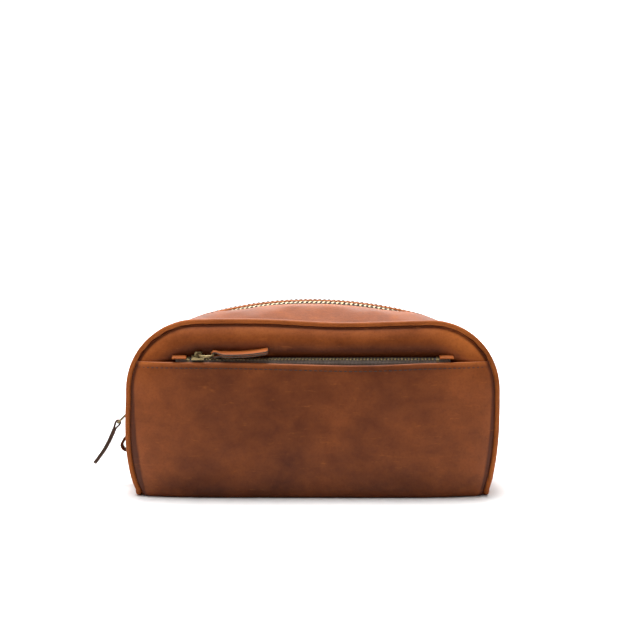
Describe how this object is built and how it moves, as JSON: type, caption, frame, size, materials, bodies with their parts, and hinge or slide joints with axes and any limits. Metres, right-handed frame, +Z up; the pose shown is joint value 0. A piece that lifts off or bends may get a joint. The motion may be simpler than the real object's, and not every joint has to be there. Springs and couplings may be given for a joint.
{
  "type": "shaving kit bag",
  "caption": "Leather shaving kit bag with a domed zip top, piped D-shaped panels and a zipped front pocket; both zips have ring and leather pulls.",
  "frame": {"origin": "middle of the flat base, on the surface the bag stands on, half way between the two seam planes", "axes": "+X to the right seen from the pocket side, +Y from the pocket side to the back, +Z up"},
  "size_m": [0.3023, 0.129, 0.138],
  "materials": {
    "bag_leather": "waxed pull-up, satin",
    "piping_leather": "waxed, satin",
    "trim_leather": "waxed, raw cut edges",
    "filler_cord": "twisted cotton",
    "zip_metal": "antique, worn bright on the ridges",
    "antique_brass": "antique, dark",
    "zip_tape": "woven ribbed tape",
    "lining_cloth": "plain cotton twill",
    "board": "fibre board"
  },
  "bodies": {
    "bag": {"back_panel": "bag_leather", "base_board": "board", "base_panel": "bag_leather", "end_panel_left": "bag_leather", "end_panel_right": "bag_leather", "front_panel": "bag_leather", "lining_back": "lining_cloth", "lining_base": "lining_cloth", "lining_end_left": "lining_cloth", "lining_end_right": "lining_cloth", "lining_front": "lining_cloth", "lining_strip_back": "lining_cloth", "lining_strip_front": "lining_cloth", "main_zip_stops": "zip_metal", "main_zip_tab_left": "trim_leather", "main_zip_tab_right": "trim_leather", "main_zip_tape_back": "zip_tape", "main_zip_tape_front": "zip_tape", "main_zip_teeth_back": "zip_metal", "main_zip_teeth_front": "zip_metal", "piping_back_cord": "filler_cord", "piping_back_cover": "piping_leather", "piping_base_left_cord": "filler_cord", "piping_base_left_cover": "piping_leather", "piping_base_right_cord": "filler_cord", "piping_base_right_cover": "piping_leather", "piping_front_cord": "filler_cord", "piping_front_cover": "piping_leather", "pocket_lining": "lining_cloth", "pocket_panel": "bag_leather", "pocket_zip_patch_left": "trim_leather", "pocket_zip_patch_right": "trim_leather", "pocket_zip_stops": "zip_metal", "pocket_zip_tape_front": "zip_tape", "pocket_zip_tape_rear": "zip_tape", "pocket_zip_teeth_front": "zip_metal", "pocket_zip_teeth_rear": "zip_metal", "top_strip_back": "bag_leather", "top_strip_front": "bag_leather"},
    "main_slider": {"main_slider": "antique_brass"},
    "main_ring": {"main_ring": "antique_brass"},
    "main_pull": {"main_pull": "trim_leather"},
    "pocket_slider": {"pocket_slider": "antique_brass"},
    "pocket_ring": {"pocket_ring": "antique_brass"},
    "pocket_pull": {"pocket_pull": "trim_leather"}
  },
  "joints": [
    {"name": "main_slider_travel", "type": "hinge", "parent": "bag", "child": "main_slider", "pos_m": [-0.056, 0, 0.0525], "axis": [0, 1, 0], "range_deg": [0, 67]},
    {"name": "main_ring_swing", "type": "hinge", "parent": "main_slider", "child": "main_ring", "pos_m": [-0.13642, 0, 0.05461], "axis": [0, 1, 0], "range_deg": [-5, 100]},
    {"name": "main_pull_swing", "type": "hinge", "parent": "main_ring", "child": "main_pull", "pos_m": [-0.14462, 0, 0.0464], "axis": [0, 1, 0], "range_deg": [-18, 45]},
    {"name": "pocket_slider_travel", "type": "slide", "parent": "bag", "child": "pocket_slider", "axis": [1, 0, 0], "range_m": [0, 0.15]},
    {"name": "pocket_ring_swing", "type": "hinge", "parent": "pocket_slider", "child": "pocket_ring", "pos_m": [-0.08136, -0.06372, 0.10217], "axis": [0, -0.9744, -0.225], "range_deg": [0, 110]},
    {"name": "pocket_pull_swing", "type": "hinge", "parent": "pocket_ring", "child": "pocket_pull", "pos_m": [-0.06976, -0.06372, 0.10217], "axis": [0, -0.9744, -0.225], "range_deg": [0, 60]}
  ]
}
